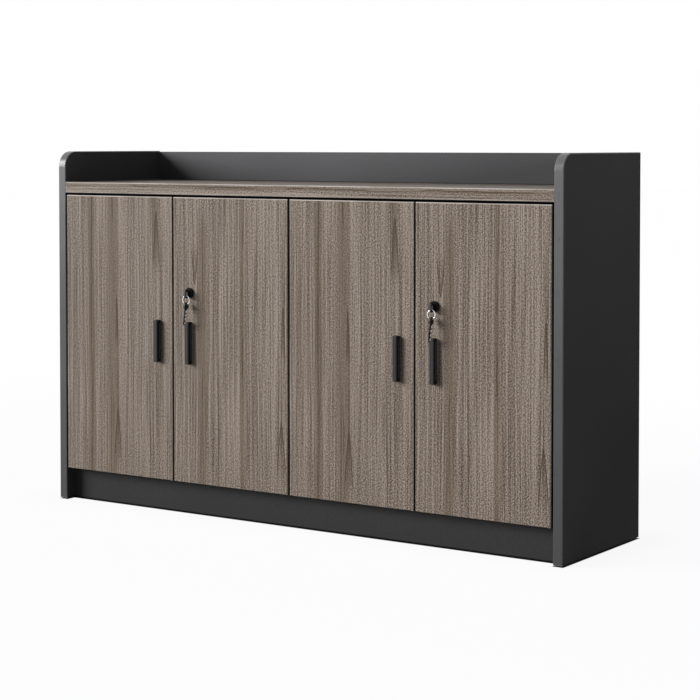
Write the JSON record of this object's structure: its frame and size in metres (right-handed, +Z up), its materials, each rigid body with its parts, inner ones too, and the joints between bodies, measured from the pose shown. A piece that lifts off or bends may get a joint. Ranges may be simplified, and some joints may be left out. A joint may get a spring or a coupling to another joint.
{
  "type": "filing cabinet",
  "caption": "Low office file cupboard with hinged lockable doors under a worktop that is edged by a raised gallery, in wood-grain and charcoal board.",
  "frame": {"origin": "middle of the bounding box's bottom face, on the floor", "axes": "+X to the right along the doors, +Y from the doors to the back, +Z up"},
  "size_m": [1.4, 0.3866, 0.86],
  "materials": {
    "grain_laminate": "matt grey-brown wood-grain laminate",
    "charcoal_board": "matt fine-textured charcoal melamine",
    "edge_band": "satin grey edge banding",
    "black_metal": "satin black",
    "steel": "nickel-plated pressed steel",
    "bright_metal": "bright nickel",
    "black_plastic": "moulded black",
    "soft_buffer": "soft grey"
  },
  "bodies": {
    "carcass": {"left_side_panel": "charcoal_board", "right_side_panel": "charcoal_board", "left_edge_band": "edge_band", "right_edge_band": "edge_band", "worktop": "grain_laminate", "floor_panel": "charcoal_board", "centre_partition": "charcoal_board", "back_panel": "charcoal_board", "plinth_board": "charcoal_board", "rear_plinth_rail": "charcoal_board", "left_shelf": "charcoal_board", "right_shelf": "charcoal_board", "shelf_pins": "steel", "floor_glides": "black_plastic", "door_buffers": "soft_buffer", "cam_fittings": "steel", "cam_bolts": "steel", "back_screws": "steel", "side_hinge_arms": "steel", "partition_hinge_arms": "steel", "hinge_plates": "steel", "hinge_screws": "steel"},
    "door_1": {"door_1": "grain_laminate", "door_1_handle": "black_metal", "door_1_hinge_cups": "steel", "door_1_screws": "steel", "door_1_strike": "black_plastic"},
    "door_2": {"door_2": "grain_laminate", "door_2_handle": "black_metal", "door_2_hinge_cups": "steel", "door_2_screws": "steel", "left_lock_housing": "black_metal", "left_lock_nut": "steel"},
    "door_3": {"door_3": "grain_laminate", "door_3_handle": "black_metal", "door_3_hinge_cups": "steel", "door_3_screws": "steel", "door_3_strike": "black_plastic"},
    "door_4": {"door_4": "grain_laminate", "door_4_handle": "black_metal", "door_4_hinge_cups": "steel", "door_4_screws": "steel", "right_lock_housing": "black_metal", "right_lock_nut": "steel"},
    "left_lock_plug": {"left_lock_plug": "black_metal", "left_lock_cam": "steel", "left_lock_cam_screw": "steel"},
    "left_lock_key": {"left_lock_key_blade": "bright_metal", "left_lock_key_head": "black_plastic"},
    "left_lock_key_ring": {"left_lock_key_ring": "bright_metal"},
    "left_lock_spare_key": {"left_lock_spare_key_head": "black_plastic", "left_lock_spare_key_blade": "bright_metal"},
    "right_lock_plug": {"right_lock_plug": "black_metal", "right_lock_cam": "steel", "right_lock_cam_screw": "steel"},
    "right_lock_key": {"right_lock_key_blade": "bright_metal", "right_lock_key_head": "black_plastic"},
    "right_lock_key_ring": {"right_lock_key_ring": "bright_metal"},
    "right_lock_spare_key": {"right_lock_spare_key_head": "black_plastic", "right_lock_spare_key_blade": "bright_metal"}
  },
  "joints": [
    {"name": "door_1_hinge", "type": "hinge", "parent": "carcass", "child": "door_1", "pos_m": [-0.6615, -0.16021, 0.416], "axis": [0, 0, -1], "range_deg": [0, 95]},
    {"name": "door_2_hinge", "type": "hinge", "parent": "carcass", "child": "door_2", "pos_m": [-0.0145, -0.16021, 0.416], "axis": [0, 0, 1], "range_deg": [0, 85]},
    {"name": "door_3_hinge", "type": "hinge", "parent": "carcass", "child": "door_3", "pos_m": [0.0145, -0.16021, 0.416], "axis": [0, 0, -1], "range_deg": [0, 85]},
    {"name": "door_4_hinge", "type": "hinge", "parent": "carcass", "child": "door_4", "pos_m": [0.6615, -0.16021, 0.416], "axis": [0, 0, 1], "range_deg": [0, 95]},
    {"name": "left_lock_turn", "type": "hinge", "parent": "door_2", "child": "left_lock_plug", "pos_m": [-0.2875, -0.16871, 0.528], "axis": [0, 1, 0], "range_deg": [0, 90]},
    {"name": "left_lock_key_pull", "type": "slide", "parent": "left_lock_plug", "child": "left_lock_key", "axis": [0, -1, 0], "range_m": [0, 0.026]},
    {"name": "left_lock_ring_swing", "type": "hinge", "parent": "left_lock_key", "child": "left_lock_key_ring", "pos_m": [-0.2875, -0.18171, 0.5216], "axis": [1, 0, 0], "range_deg": [-45, 0]},
    {"name": "left_lock_spare_swing", "type": "hinge", "parent": "left_lock_key_ring", "child": "left_lock_spare_key", "pos_m": [-0.2875, -0.18171, 0.502], "axis": [1, 0, 0], "range_deg": [-54, 0]},
    {"name": "right_lock_turn", "type": "hinge", "parent": "door_4", "child": "right_lock_plug", "pos_m": [0.3885, -0.16871, 0.528], "axis": [0, 1, 0], "range_deg": [0, 90]},
    {"name": "right_lock_key_pull", "type": "slide", "parent": "right_lock_plug", "child": "right_lock_key", "axis": [0, -1, 0], "range_m": [0, 0.026]},
    {"name": "right_lock_ring_swing", "type": "hinge", "parent": "right_lock_key", "child": "right_lock_key_ring", "pos_m": [0.3885, -0.18171, 0.5216], "axis": [1, 0, 0], "range_deg": [-45, 0]},
    {"name": "right_lock_spare_swing", "type": "hinge", "parent": "right_lock_key_ring", "child": "right_lock_spare_key", "pos_m": [0.3885, -0.18171, 0.502], "axis": [1, 0, 0], "range_deg": [-54, 0]}
  ]
}
